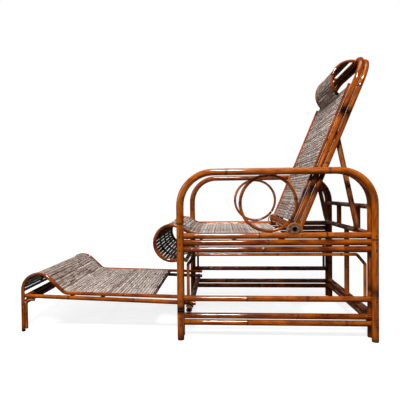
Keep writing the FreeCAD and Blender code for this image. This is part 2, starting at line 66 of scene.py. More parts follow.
# The floor is one pale sweep that gives little light back to the undersides of the chair, and
# is plain white further away, as the room is. The key lamp is high up beside the chair.
class Shade:
    """One output of a material's node, with the Math nodes for arithmetic on it."""

    def __init__(self, tree, socket=None):
        self.tree = tree
        self.socket = socket

    def node(self, kind, settings, values, out=0):
        made = self.tree.nodes.new(kind)
        for key, value in settings.items():
            setattr(made, key, value)
        for key, value in values.items():
            if isinstance(value, Shade):
                self.tree.links.new(value.socket, made.inputs[key])
            elif made.inputs[key].type == "RGBA":
                made.inputs[key].default_value = (*value, 1.0)
            else:
                made.inputs[key].default_value = value
        return Shade(self.tree, made.outputs[out] if made.outputs else None)

    def maths(self, operation, *values):
        return self.node("ShaderNodeMath", {"operation": operation}, dict(enumerate(values)))

    def __add__(self, other):
        return self.maths("ADD", self, other)

    def __sub__(self, other):
        return self.maths("SUBTRACT", self, other)

    def __mul__(self, other):
        return self.maths("MULTIPLY", self, other)

    def __rsub__(self, other):
        return self.maths("SUBTRACT", other, self)

    __radd__ = __add__
    __rmul__ = __mul__

    def span(self, low, high):
        """0 at low and 1 at high, and held between them."""
        return self.node("ShaderNodeMapRange", {}, {"Value": self, "From Min": low, "From Max": high})

    def over(self, colour, share):
        """A colour laid over this one by a share."""
        return self.node("ShaderNodeMix", {"data_type": "RGBA"}, {0: share, 6: self, 7: colour}, out=2)

    def clouds(self, scale, detail, rough):
        """Noise at this vector, which is stretched by a scale along each of its parts."""
        place = self.node("ShaderNodeVectorMath", {"operation": "MULTIPLY"}, {0: self, 1: scale})
        return self.node("ShaderNodeTexNoise", {}, {"Vector": place, "Scale": 1.0, "Detail": detail,
                                                    "Roughness": rough})

    def written(self, name):
        """The three parts of a vector written on the mesh, and the vector itself."""
        made = self.node("ShaderNodeAttribute", {"attribute_name": name}, {}, out=1)
        parts = [self.node("ShaderNodeSeparateXYZ", {}, {0: made}, out=i) for i in range(3)]
        return parts + [made]


def new_material(name):
    """A material, and a Shade that starts its nodes."""
    material = bpy.data.materials.new(name)
    material.use_nodes = True
    material.node_tree.nodes.clear()
    return material, Shade(material.node_tree)


floor_white, s = new_material("floor_white")
seen = s.node("ShaderNodeLightPath", {}, {})
dull = s.node("ShaderNodeBsdfDiffuse", {}, {"Color": (0.10, 0.095, 0.09)})
white = s.node("ShaderNodeBsdfDiffuse", {}, {"Color": (0.35, 0.35, 0.35)})
spot = s.node("ShaderNodeTexCoord", {}, {}, out="Object")
away = s.node("ShaderNodeVectorMath", {"operation": "LENGTH"}, {0: spot}, out=1)
near_glow = s.node("ShaderNodeEmission", {}, {"Color": (1.0, 1.0, 1.0), "Strength": 0.82})
far_glow = s.node("ShaderNodeEmission", {}, {"Color": (1.0, 1.0, 1.0), "Strength": 1.0})
glow = s.node("ShaderNodeMixShader", {}, {0: away.span(1.2, 3.5), 1: near_glow, 2: far_glow})
bright = s.node("ShaderNodeAddShader", {}, {0: white, 1: glow})
surface = s.node("ShaderNodeMixShader", {}, {0: seen, 1: dull, 2: bright})
s.node("ShaderNodeOutputMaterial", {}, {"Surface": surface})
bpy.ops.object.select_all(action="DESELECT")
bpy.ops.mesh.primitive_grid_add(x_subdivisions=2, y_subdivisions=2, size=80.0)
floor = bpy.context.object
floor.name = "floor"
floor.data.materials.append(floor_white)

room = bpy.data.worlds.new("room")
bpy.context.scene.world = room
room.use_nodes = True
room.node_tree.nodes.clear()
s = Shade(room.node_tree)
to_eye = s.node("ShaderNodeLightPath", {}, {})
to_gloss = s.node("ShaderNodeLightPath", {}, {}, out="Is Glossy Ray")
dim = s.node("ShaderNodeBackground", {}, {"Color": (1.0, 0.97, 0.94), "Strength": 0.08})
sheen = s.node("ShaderNodeBackground", {}, {"Color": (1.0, 1.0, 1.0), "Strength": 0.05})
white = s.node("ShaderNodeBackground", {}, {"Color": (1.0, 1.0, 1.0), "Strength": 1.0})
unseen = s.node("ShaderNodeMixShader", {}, {0: to_gloss, 1: dim, 2: sheen})
around = s.node("ShaderNodeMixShader", {}, {0: to_eye, 1: unseen, 2: white})
s.node("ShaderNodeOutputWorld", {}, {"Surface": around})


def lamp(name, place, width, power):
    """A square soft lamp that faces the middle of the chair."""
    data = bpy.data.lights.new(name, "AREA")
    data.size = width
    data.energy = power
    made = bpy.data.objects.new(name, data)
    bpy.context.scene.collection.objects.link(made)
    made.location = place
    made.rotation_euler = (Vector((0.0, 0.0, 0.5)) - made.location).to_track_quat("-Z", "Y").to_euler()


lamp("key_lamp", (1.9, 0.1, 2.5), 0.45, 85.0)
lamp("front_left_lamp", (1.6, -2.6, 1.6), 1.6, 30.0)
lamp("top_lamp", (0.2, 0.2, 3.2), 1.8, 32.0)
lamp("far_lamp", (-2.6, -1.6, 2.4), 1.4, 18.0)
bpy.context.scene.view_settings.view_transform = "Standard"


# Arm hoops: two bamboo poles stand side by side on each side. Each is one pole, heated over
# a flame and bent at the two corners, where it is scorched. They are nailed to the rails.
class Straight:
    """A straight stretch of a pole's middle line."""

    def __init__(self, start, end):
        self.start, self.end = start, end
        self.length = (end - start).length
        self.way = self.end_way = (end - start).normalized()

    def place(self, part):
        return self.start + self.way * part

    def grow(self, part):
        bpy.ops.mesh.extrude_region_move(TRANSFORM_OT_translate={"value": tuple(self.way * part)})

    def nearest(self, point):
        part = min(max((point - self.start).dot(self.way), 0.0), self.length)
        return part, self.place(part)


class Bend:
    """A stretch that turns about an axis by an angle, from where an arm points to."""

    def __init__(self, middle, axis, angle, arm):
        self.middle, self.axis, self.angle, self.arm = middle, axis, angle, arm
        self.length = angle * arm.length
        self.start, self.end = middle + arm, self.place(self.length)
        self.way = axis.cross(arm).normalized()
        self.end_way = axis.cross(self.end - middle).normalized()

    def place(self, part):
        return self.middle + Quaternion(self.axis, part / self.arm.length) @ self.arm

    def grow(self, part):
        bpy.ops.mesh.spin(steps=1, angle=-part / self.arm.length, center=tuple(self.middle),
                          axis=tuple(self.axis))

    def nearest(self, point):
        flat = point - self.middle
        flat -= self.axis * flat.dot(self.axis)
        turned = math.atan2(self.axis.dot(self.arm.cross(flat)), self.arm.dot(flat)) % math.tau
        if turned > self.angle:
            turned = self.angle if turned - self.angle < math.tau - turned else 0.0
        part = turned * self.arm.length
        return part, self.place(part)


def bent_line(*stops):
    """Stretches through the stops, each (place, bend radius in millimetres)."""
    line = []
    start = stops[0][0]
    for (before, _), (corner, radius), (after, _) in zip(stops, stops[1:], stops[2:]):
        back = (before - corner).normalized()
        on = (after - corner).normalized()
        half = back.angle(on) / 2
        first = corner + back * (radius / 1000 / math.tan(half))
        middle = corner + (back + on).normalized() * (radius / 1000 / math.sin(half))
        line.append(Straight(start, first))
        line.append(Bend(middle, on.cross(back).normalized(), math.pi - 2 * half, first - middle))
        start = line[-1].end
    line.append(Straight(start, stops[-1][0]))
    return line


def at(x, y, z):
    """A place in millimetres, with Y counted from the front legs."""
    return Vector((x / 1000, front_leg_y + y / 1000, z / 1000))


def only(made):
    bpy.ops.object.select_all(action="DESELECT")
    made.select_set(True)
    bpy.context.view_layer.objects.active = made


def widen(share, middle):
    bpy.ops.transform.resize(value=(share, share, share), center_override=tuple(middle))


ridge = 0.0003
ridge_rise = {-0.0080: 0.0, -0.0026: 0.25, -0.0012: 1.0, 0.0001: 0.0, 0.0012: 0.8, 0.0026: 0.1, 0.0090: 0.0}
straight_step = 0.045
bend_step = math.radians(7)


def ring_places(stretch, joints):
    """Where the rings of a stretch go, and how far the pole rises above its plain skin there."""
    step = straight_step if isinstance(stretch, Straight) else bend_step * stretch.arm.length
    count = max(1, round(stretch.length / step))
    rings = {stretch.length * i / count: 0.0 for i in range(1, count + 1)}
    for joint in joints:
        if 0.012 < joint < stretch.length - 0.012:
            rings = {place: rise for place, rise in rings.items() if abs(place - joint) > 0.011}
            rings.update({joint + offset: rise for offset, rise in ridge_rise.items()})
    rings[stretch.length] = 0.0
    return sorted(rings.items())


def grow_pole(name, line, thick, joints, sides=18):
    """A pole grown from a disc, which is extruded and spun along its line and widened at the
    joints; its surface is a little uneven."""
    chance = random.Random(name)
    radius = thick / 2000 - ridge
    turned = line[0].way.to_track_quat("Z", "Y").to_euler()
    bpy.ops.object.select_all(action="DESELECT")
    bpy.ops.mesh.primitive_circle_add(vertices=sides, radius=radius, fill_type="NGON",
                                      location=line[0].start, rotation=turned)
    made = bpy.context.object
    made.name = name
    bpy.ops.object.transform_apply(location=True, rotation=True, scale=True)
    bpy.ops.object.mode_set(mode="EDIT")
    bpy.ops.mesh.select_all(action="SELECT")
    walked = 0.0
    wide = 1.0
    for stretch in line:
        done = 0.0
        for place, rise in ring_places(stretch, [joint - walked for joint in joints]):
            stretch.grow(place - done)
            want = 1.0 + (rise * ridge - chance.uniform(0.0, 0.00012)) / radius
            widen(want / wide, stretch.place(place))
            done, wide = place, want
        walked += stretch.length
    bpy.ops.object.mode_set(mode="OBJECT")
    return made


def pick_face(made, near):
    """Selects the face whose middle is nearest to a place, and nothing else of the mesh."""
    face = min(made.data.polygons, key=lambda other: (other.center - near).length)
    around = set(face.vertices)
    for vertex in made.data.vertices:
        vertex.select = vertex.index in around
    for edge in made.data.edges:
        edge.select = around.issuperset(edge.vertices)
    for other in made.data.polygons:
        other.select = other.index == face.index
    return face


def open_end(made, place, outward, bore, deep=0.02):
    """Sinks the bore of a cut bamboo pole into one of its ends."""
    face = pick_face(made, place)
    middle = face.center.copy()
    wide = max((made.data.vertices[i].co - middle).length for i in face.vertices)
    only(made)
    bpy.ops.object.mode_set(mode="EDIT")
    bpy.ops.mesh.select_mode(type="FACE")
    for inward, share in ((0.0, bore / 2000 / wide), (0.0012, 0.93), (deep, 0.85)):
        bpy.ops.mesh.extrude_region_move(TRANSFORM_OT_translate={"value": tuple(outward * -inward)})
        widen(share, middle - outward * inward)
    bpy.ops.object.mode_set(mode="OBJECT")


def write_marks(made, line, joints=(), burns=(), rubs=(), worn=0.0, tone=0.0):
    """Writes on the mesh which way the fibres run, and where it is jointed, scorched or rubbed."""
    mesh = made.data
    fibres = mesh.attributes.new("fibres", "FLOAT_VECTOR", "POINT")
    spots = mesh.attributes.new("spots", "FLOAT_VECTOR", "POINT")
    looks = mesh.attributes.new("looks", "FLOAT_VECTOR", "POINT")
    shift = random.Random(made.name).uniform(0.0, 40.0)
    bends = [stretch.axis for stretch in line if isinstance(stretch, Bend)]
    side = bends[0] if bends else line[0].way.orthogonal().normalized()
    for vertex in mesh.vertices:
        walked = 0.0
        best = (9.0,)
        for stretch in line:
            part, foot = stretch.nearest(vertex.co)
            best = min(best, ((vertex.co - foot).length, walked + part, tuple(foot)))
            walked += stretch.length
        gap, along, foot = best
        out = vertex.co - Vector(foot)
        level = out.dot(side)
        rest = math.copysign(math.sqrt(max(gap * gap - level * level, 0.0)), out.z + out.y * 0.3)
        fibres.data[vertex.index].vector = (along + shift, level, rest)
        jointed = max([0.0] + [1.0 - abs(along - joint) / 0.0036 for joint in joints])
        burnt = max([0.0] + [power * max(0.0, 1.0 - abs(along - place) / half) ** 0.7
                             for place, half, power in burns])
        rubbed = max([worn] + [power * max(0.0, 1.0 - abs(along - place) / half) ** 0.5
                               for place, half, power in rubs])
        spots.data[vertex.index].vector = (jointed, min(burnt, 1.0), 0.0)
        looks.data[vertex.index].vector = (rubbed, tone, 0.0)


def write_cuts(made, ends):
    """Writes which faces are sawn across, and which lie inside an end's bore, where shade is painted."""
    cuts = made.data.attributes.new("cuts", "FLOAT_VECTOR", "CORNER")
    for face in made.data.polygons:
        sawn = shaded_bore = 0.0
        for place, outward, bore in ends:
            step = face.center - place
            deep = step.dot(outward)
            if -0.022 < deep < 0.001 and step.length < 0.04:
                across = (step - outward * deep).length
                if abs(face.normal.dot(outward)) > 0.8:
                    sawn = 1.0
                if bore and deep < -0.0001 and across < bore / 2000:
                    sawn, shaded_bore = 0.0, 1.0
        for corner in face.loop_indices:
            cuts.data[corner].vector = (sawn, shaded_bore, 0.0)


amber_lacquer, s = new_material("amber_lacquer")
_, _, _, fibres = s.written("fibres")
jointed, burnt, _, _ = s.written("spots")
sawn, shaded_bore, _, _ = s.written("cuts")
worn, tone, _, _ = s.written("looks")
streaks = fibres.clouds((5.0, 420.0, 420.0), 3.0, 0.55)
patches = fibres.clouds((15.0, 75.0, 75.0), 3.0, 0.6)
flecks = fibres.clouds((95.0, 260.0, 260.0), 2.0, 0.7)
depth = streaks * 0.40 + patches * 0.60 + tone
amber = depth.node("ShaderNodeMix", {"data_type": "RGBA"},
                   {0: depth.span(0.37, 0.56), 6: (0.095, 0.011, 0.002), 7: (0.380, 0.083, 0.005)}, out=2)
amber = amber.over((0.620, 0.165, 0.012), depth.span(0.55, 0.74))
wear = worn * patches.span(0.38, 0.60) * streaks.span(0.25, 0.55)
amber = amber.over((0.380, 0.270, 0.200), wear)
scorch = (burnt * (0.50 + patches)).span(0.12, 0.75)
amber = amber.over((0.012, 0.003, 0.001), scorch)
amber = amber.over((0.040, 0.009, 0.003), flecks.span(0.64, 0.72) * 0.7)
amber = amber.over((0.020, 0.005, 0.002), jointed.span(0.05, 0.50) * 0.9)
nick = jointed.span(0.72, 0.90) * flecks.span(0.50, 0.60)
amber = amber.over((0.420, 0.330, 0.260), nick)
amber = amber.over((0.230, 0.160, 0.115), sawn)
amber = amber.over((0.070, 0.032, 0.018), sawn * flecks.span(0.45, 0.55))
# Painted shade: faces inside a bore are coloured dark brown, darker than the sawn end grain, to deepen the
# shade of the hollow.
amber = amber.over((0.100, 0.035, 0.015), shaded_bore)
rough = 0.34 + streaks * 0.14 + wear * 0.25
relief = s.node("ShaderNodeBump", {}, {
    "Strength": 0.25, "Distance": 0.0006, "Height": streaks * 0.5 + flecks * 0.25})
coat = (1.0 - wear * 0.8) * (1.0 - shaded_bore) * (1.0 - sawn) * (1.0 - scorch * 0.5)
surface = s.node("ShaderNodeBsdfPrincipled", {}, {
    "Base Color": amber, "Roughness": rough, "Coat Weight": coat, "Coat Roughness": 0.07,
    "Specular IOR Level": 0.0, "Normal": relief})
s.node("ShaderNodeOutputMaterial", {}, {"Surface": surface})


def spread(name, length, gap=290.0):
    """Places of the joints along a pole that grew with about that gap between them."""
    chance = random.Random(name)
    place = chance.uniform(0.2, 0.8) * gap
    places = []
    while place < length:
        places.append(place)
        place += gap * chance.uniform(0.82, 1.15)
    return places


def bamboo(name, node, body, line, thick, joints=None, burns=(), bores=(0.0, 0.0), rubs=(), worn=0.0,
           tone=None):
    """One finished pole. Joints and burns are in millimetres along it, and bores open its ends."""
    length = sum(stretch.length for stretch in line) * 1000
    joints = [joint / 1000 for joint in (spread(name, length) if joints is None else joints)]
    burns = [(place / 1000, half / 1000, power) for place, half, power in burns]
    rubs = [(place / 1000, half / 1000, power) for place, half, power in rubs]
    if tone is None:
        tone = random.Random(name).uniform(-0.05, 0.05)
    made = grow_pole(name, line, thick, joints)
    ends = ((line[0].start, -line[0].way, bores[0]), (line[-1].end, line[-1].end_way, bores[1]))
    for place, outward, bore in ends:
        if bore:
            open_end(made, place, outward, bore)
    write_marks(made, line, joints, burns, rubs, worn, tone)
    write_cuts(made, ends)
    only(made)
    bpy.ops.object.shade_smooth_by_angle(angle=math.radians(40))
    made.data.materials.append(amber_lacquer)
    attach(made, body)
    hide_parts(node)
    return made


sides = (("left", 1), ("right", -1))
leg_spacing = 713.0
arm_bend = 126.0


def across_box(node):
    """Where a node's middle lies across the chair and how wide it is, in millimetres."""
    low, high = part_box(node)
    return (low.x + high.x) * 500, round((high.x - low.x) * 1000, 1)


arm_line = hoop_high.z * 1000 - across_box("left_outer_hoop")[1] / 2
for name, side in sides:
    for kind, joints in (("outer", (114, 436, 749, 1124, 1485)), ("inner", (240, 880, 1290, 1700))):
        node = name + "_" + kind + "_hoop"
        x, thick = across_box(node)
        line = bent_line((at(x, 0, 0), 0), (at(x, 0, arm_line), arm_bend),
                         (at(x, leg_spacing, arm_line), arm_bend), (at(x, leg_spacing, 0), 0))
        bamboo(node, node, "base", line, thick, joints,
               ((4, 14, 0.9), (26, 12, 0.9), (114, 18, 1.0), (520, 60, 0.25), (1325, 60, 0.25),
                (1567, 14, 0.7), (1679, 14, 0.7), (1850, 30, 0.7)), (thick * 0.5, thick * 0.5))

# Rails: six straight poles on each side are held between the hoops, three under the seat,
# one halfway down and two near the floor. Their cut ends stop level with the legs.
seat_rail_swell = 2.4
rail_joints = {"left_seat_rail_upper": (66, 308, 558), "left_seat_rail_middle": (341,),
               "left_seat_rail_lower": (52, 327, 624), "left_middle_rail": (261, 485),
               "left_lower_rail_top": (151, 448), "left_lower_rail_bottom": (261, 628)}


def solids_of(node):
    """The corners of each loose solid of a node."""
    whole = bmesh.new()
    whole.from_mesh(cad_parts[node].data)
    bmesh.ops.remove_doubles(whole, verts=whole.verts, dist=1e-6)
    left = set(whole.verts)
    solids = []
    while left:
        group, edge = set(), [left.pop()]
        while edge:
            vertex = edge.pop()
            group.add(vertex)
            near = {link.other_vert(vertex) for link in vertex.link_edges} & left
            left -= near
            edge += near
        solids.append([vertex.co.copy() for vertex in group])
    whole.free()
    return sorted(solids, key=lambda corners: tuple(round(value, 4) for value in min(corners, key=tuple)))


def along(corners, way):
    """A straight line through the middle of a pole's corners, and the pole's thickness."""
    way = way.normalized()
    side = way.orthogonal().normalized()
    up = way.cross(side)
    reach = [[corner.dot(axis) for corner in corners] for axis in (way, side, up)]
    middle = side * (max(reach[1]) + min(reach[1])) / 2 + up * (max(reach[2]) + min(reach[2])) / 2
    thick = (max(reach[1]) - min(reach[1])) * 1000
    return [Straight(middle + way * min(reach[0]), middle + way * max(reach[0]))], thick


crosswise, lengthwise, upright = Vector((1, 0, 0)), Vector((0, 1, 0)), Vector((0, 0, 1))


def straight_poles(node, body, way, swell=0.0, **finish):
    """Every pole of a node that lies along one way, thicker than the plain pole by a swell."""
    for i, corners in enumerate(solids_of(node)):
        line, thick = along(corners, way)
        bamboo(node + "_" + str(i), node, body, line, round(thick, 1) + swell,
               bores=(thick * 0.45, thick * 0.45), **finish)


for name, side in sides:
    for rail in ("seat_rail_upper", "seat_rail_middle", "seat_rail_lower", "middle_rail",
                 "lower_rail_bottom", "lower_rail_top"):
        node = name + "_" + rail
        straight_poles(node, "base", lengthwise, seat_rail_swell if "seat" in rail else 0.0,
                       joints=rail_joints.get(node),
                       burns=((22, 22, 0.8), (710, 26, 0.8)))

# Frets: under the seat rails of each side a thin pole is bent into a flat arch with cut
# corners. Its feet stand on the middle rail and it is nailed on at the front and rear.
fret_shoulder, fret_post, fret_corner, fret_bend = 280.0, 27.5, 57.0, 12.0
for name, side in sides:
    node = name + "_fret_pole"
    x, thick = across_box(node)
    low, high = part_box(node)
    fret_foot, fret_top = low.z * 1000, high.z * 1000 - thick / 2
    line = bent_line((at(x, fret_post, fret_foot), 0), (at(x, fret_post, fret_shoulder), fret_bend),
                     (at(x, fret_corner, fret_top), fret_bend),
                     (at(x, leg_spacing - fret_corner, fret_top), fret_bend),
                     (at(x, leg_spacing - fret_post, fret_shoulder), fret_bend),
                     (at(x, leg_spacing - fret_post, fret_foot), 0))
    bamboo(node, node, "base", line, thick, (215, 474, 706),
           ((125, 18, 0.8), (160, 14, 0.8), (766, 14, 0.8), (800, 18, 0.8)))

# Arm rings: a thin pole is bent into a ring that fills the gap between the arm and the top
# rail. Its two cut ends meet low down towards the head end, and it is nailed to the rail.
ring_seam = math.radians(126)
for name, side in sides:
    node = name + "_arm_ring"
    x, thick = across_box(node)
    low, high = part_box(node)
    middle = (low + high) / 2
    ring_radius = (high.z - low.z) / 2 - thick / 2000
    arm = Vector((0.0, math.sin(ring_seam), math.cos(ring_seam))) * ring_radius
    line = [Bend(middle, -crosswise, math.radians(358.8), arm)]
    bamboo(node, node, "base", line, thick, (95, 262, 420, 575),
           ((0, 20, 0.7), (655, 20, 0.7), (262, 12, 0.5), (575, 12, 0.5)), (6.0, 6.0), tone=-0.02)

# Straps: a split and shaved strip of bamboo is bent over the turning pole of the back on
# each side. Both its feet are let into the top rail, and each is held by a nail.
split_cane, s = new_material("split_cane")
_, _, _, fibres = s.written("fibres")
_, burnt, _, _ = s.written("spots")
_, tone, _, _ = s.written("looks")
streaks = fibres.clouds((7.0, 520.0, 520.0), 3.0, 0.6)
patches = fibres.clouds((18.0, 90.0, 90.0), 3.0, 0.6)
depth = streaks * 0.55 + patches * 0.45 + tone
cane = depth.node("ShaderNodeMix", {"data_type": "RGBA"},
                  {0: depth.span(0.34, 0.66), 6: (0.130, 0.035, 0.010), 7: (0.520, 0.200, 0.060)}, out=2)
cane = cane.over((0.020, 0.006, 0.003), (burnt * (0.6 + patches)).span(0.10, 0.80))
relief = s.node("ShaderNodeBump", {}, {"Strength": 0.35, "Distance": 0.0006, "Height": streaks})
surface = s.node("ShaderNodeBsdfPrincipled", {}, {
    "Base Color": cane, "Roughness": 0.42 + streaks * 0.2, "Coat Weight": 0.35, "Coat Roughness": 0.2,
    "Normal": relief})
s.node("ShaderNodeOutputMaterial", {}, {"Surface": surface})


def strip(name, node, body, line, width, thick, tone=0.0, burns=()):
    """A flat strip of split cane, wide across the chair, with its edges taken off."""
    bpy.ops.object.select_all(action="DESELECT")
    bpy.ops.mesh.primitive_plane_add(size=1.0)
    made = bpy.context.object
    made.name = name
    made.scale = (width / 1000, thick / 1000, 1.0)
    bpy.ops.object.transform_apply(location=True, rotation=True, scale=True)
    way = line[0].way
    made.matrix_world = Matrix((crosswise, way.cross(crosswise), way)).transposed().to_4x4()
    made.location = line[0].start
    bpy.ops.object.transform_apply(location=True, rotation=True, scale=True)
    bpy.ops.object.mode_set(mode="EDIT")
    bpy.ops.mesh.select_all(action="SELECT")
    bpy.ops.mesh.bevel(offset=thick / 1000 * 0.22, segments=2, affect="VERTICES")
    bpy.ops.mesh.select_all(action="SELECT")
    for stretch in line:
        done = 0.0
        for place, _ in ring_places(stretch, ()):
            stretch.grow(place - done)
            done = place
    bpy.ops.object.mode_set(mode="OBJECT")
    burns = [(place / 1000, half / 1000, power) for place, half, power in burns]
    write_marks(made, line, burns=burns, tone=tone)
    only(made)
    bpy.ops.object.shade_smooth_by_angle(angle=math.radians(35))
    made.data.materials.append(split_cane)
    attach(made, body)
    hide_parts(node)
    return made


pivot_y, pivot_z = 428.5, 411.0
strap_reach, strap_arch = 26.8, 406.3
for name, side in sides:
    x, _ = across_box(name + "_pivot_strap")
    strap_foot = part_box(name + "_pivot_strap")[0].z * 1000
    arch = Bend(at(x, pivot_y, strap_arch), -crosswise, math.pi, Vector((0.0, -strap_reach / 1000, 0.0)))
    line = [Straight(at(x, pivot_y - strap_reach, strap_foot), arch.start), arch,
            Straight(arch.end, at(x, pivot_y + strap_reach, strap_foot))]
    strip(name + "_pivot_strap", name + "_pivot_strap", "base", line, 14.0, 5.0, 0.06,
          ((0, 12, 0.8), (116, 12, 0.8)))

# Nails: small iron nails with flat domed heads go through the hoops into every rail end
# and through the feet of the two straps. They have gone dark brown.
dark_iron, s = new_material("dark_iron")
place = s.node("ShaderNodeTexCoord", {}, {}, out="Object")
rust = place.clouds((900.0, 900.0, 900.0), 3.0, 0.6)
iron = rust.node("ShaderNodeMix", {"data_type": "RGBA"},
                 {0: rust.span(0.35, 0.65), 6: (0.012, 0.008, 0.007), 7: (0.070, 0.030, 0.018)}, out=2)
relief = s.node("ShaderNodeBump", {}, {"Strength": 0.4, "Distance": 0.0003, "Height": rust})
surface = s.node("ShaderNodeBsdfPrincipled", {}, {
    "Base Color": iron, "Roughness": 0.35 + rust * 0.3, "Metallic": 0.7, "Normal": relief})
s.node("ShaderNodeOutputMaterial", {}, {"Surface": surface})

head_radius, head_height, shank_length = 0.0025, 0.0012, 0.006


def nail(place, outward):
    """One nail whose head's top is at the place."""
    under = place - outward * head_height
    bpy.ops.object.select_all(action="DESELECT")
    bpy.ops.mesh.primitive_circle_add(vertices=12, radius=head_radius, fill_type="NGON", location=under,
                                      rotation=outward.to_track_quat("Z", "Y").to_euler())
    made = bpy.context.object
    bpy.ops.object.transform_apply(location=True, rotation=True, scale=True)
    bpy.ops.object.mode_set(mode="EDIT")
    bpy.ops.mesh.select_all(action="SELECT")
    height = 0.0
    for step, share in ((0.0006, 1.0), (0.0004, 0.82), (0.0002, 0.5)):
        bpy.ops.mesh.extrude_region_move(TRANSFORM_OT_translate={"value": tuple(outward * step)})
        height += step
        widen(share, under + outward * height)
    bpy.ops.object.mode_set(mode="OBJECT")
    pick_face(made, under)
    bpy.ops.object.mode_set(mode="EDIT")
    bpy.ops.mesh.select_mode(type="FACE")
    bpy.ops.mesh.extrude_region_move(TRANSFORM_OT_translate={"value": (0.0, 0.0, 0.0)})
    widen(0.4, under)
    bpy.ops.mesh.extrude_region_move(TRANSFORM_OT_translate={"value": tuple(outward * -shank_length)})
    bpy.ops.object.mode_set(mode="OBJECT")
    return made


def join(pieces, name):
    bpy.ops.object.select_all(action="DESELECT")
    for piece in pieces:
        piece.select_set(True)
    bpy.context.view_layer.objects.active = pieces[0]
    bpy.ops.object.join()
    pieces[0].name = name
    return pieces[0]


nails = []
for corners in solids_of("frame_nails"):
    middle = sum(corners, Vector()) / len(corners)
    outward = crosswise * math.copysign(1.0, middle.x)
    top = max(corner.dot(outward) for corner in corners)
    low = [min(corner[i] for corner in corners) for i in (1, 2)]
    high = [max(corner[i] for corner in corners) for i in (1, 2)]
    nails.append(nail(Vector((outward.x * top, (low[0] + high[0]) / 2, (low[1] + high[1]) / 2)), outward))
made = join(nails, "frame_nails")
only(made)
bpy.ops.object.shade_smooth_by_angle(angle=math.radians(50))
made.data.materials.append(dark_iron)
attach(made, "base")
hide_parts("frame_nails")

# Rear bars and posts: straight poles tie the two sides together behind the seat. Their ends
# are hollowed to fit round the inner hoops, and their upper skins are rubbed pale.
straight_poles("rear_seat_bar", "base", crosswise, worn=0.8)
straight_poles("rear_top_bar", "base", crosswise, worn=1.0)
straight_poles("rear_lower_bars", "base", crosswise, worn=0.4)
straight_poles("rear_centre_post", "base", upright)
straight_poles("rear_top_posts", "base", upright)

# Seat: a pole on each side comes forwards from the back, rises and rolls down at the front
# into a scroll, whose end stands on a bar between the inner hoops.
seat_rear, seat_height, rise_bend = 395.0, 387.0, 80.0
rise_angle = math.radians(30)
scroll_y, scroll_z, scroll_radius = -38.0, 355.0, 69.5
tail_angle = math.radians(-188)
tail_y = 11.1


def scroll_bend(x, radius):
    arm = Vector((0.0, math.sin(rise_angle), math.cos(rise_angle))) * radius / 1000
    return Bend(at(x, scroll_y, scroll_z), crosswise, rise_angle - tail_angle, arm)


def seat_line(x, outward=0.0):
    """The line of the seat's side pole, or one that lies further out all along it."""
    scroll = scroll_bend(x, scroll_radius + outward)
    flat = seat_height + outward
    leave = scroll.start
    corner_y = (leave.y - front_leg_y) * 1000 + (leave.z * 1000 - flat) / math.tan(rise_angle)
    lead = bent_line((at(x, seat_rear, flat), 0), (at(x, corner_y, flat), rise_bend - outward), (leave, 0))
    end = scroll.end
    way = scroll.end_way
    run = (front_leg_y + tail_y / 1000 - end.y) / way.y
    return lead + [scroll, Straight(end, end + way * run)]


for name, side in sides:
    node = name + "_seat_pole"
    x, thick = across_box(node)
    bamboo(node, node, "base", seat_line(x), thick, None,
           ((360, 60, 0.5), (480, 60, 0.5), (620, 60, 0.4)), (6.0, 0.0))
straight_poles("scroll_bar", "base", crosswise)
straight_poles("seat_cross_bars", "base", crosswise)
for i, x in enumerate((-124.0, 0.0, 124.0)):
    strip("seat_batten_" + str(i), "seat_battens", "base", seat_line(x, -2.4), 18.0, 4.0)

# Slats: strips split from thick bamboo lie close together across the side poles, with their
# skins outwards, and are nailed to the battens below. They have bleached and lost their gloss.
slat_length_play = 0.0015
slat_width, slat_thick = 0.0118, 0.0033
bleached_slats, s = new_material("bleached_slats")
_, _, height, fibres = s.written("fibres")
jointed, _, _, _ = s.written("spots")
_, tone, _, _ = s.written("looks")
streaks = fibres.clouds((9.0, 700.0, 700.0), 3.0, 0.6)
patches = fibres.clouds((22.0, 130.0, 130.0), 3.0, 0.65)
depth = streaks * 0.35 + patches * 0.65 + tone
pale = depth.node("ShaderNodeMix", {"data_type": "RGBA"},
                  {0: depth.span(0.36, 0.52), 6: (0.190, 0.105, 0.070), 7: (0.470, 0.370, 0.315)}, out=2)
pale = pale.over((0.760, 0.690, 0.640), depth.span(0.52, 0.68))
pale = pale.over((0.050, 0.018, 0.008), jointed.span(0.10, 0.70) * 0.8)
# Painted shade: below its rounded top, each slat's sides and underside are coloured near black, standing in
# for the shade in the narrow gaps between the slats.
pale = pale.over((0.022, 0.010, 0.006), 1.0 - height.span(-0.0004, 0.0012))
relief = s.node("ShaderNodeBump", {}, {"Strength": 0.3, "Distance": 0.0005, "Height": streaks})
surface = s.node("ShaderNodeBsdfPrincipled", {}, {
    "Base Color": pale, "Roughness": 0.40 + streaks * 0.25, "Coat Weight": 0.25, "Coat Roughness": 0.25,
    "Normal": relief})
s.node("ShaderNodeOutputMaterial", {}, {"Surface": surface})


def pick(made, kind, test):
    """Selects the parts of one kind that pass a test, and no others."""
    for group in (made.data.vertices, made.data.edges, made.data.polygons):
        for part in group:
            part.select = False
    for part in getattr(made.data, kind):
        part.select = test(part)


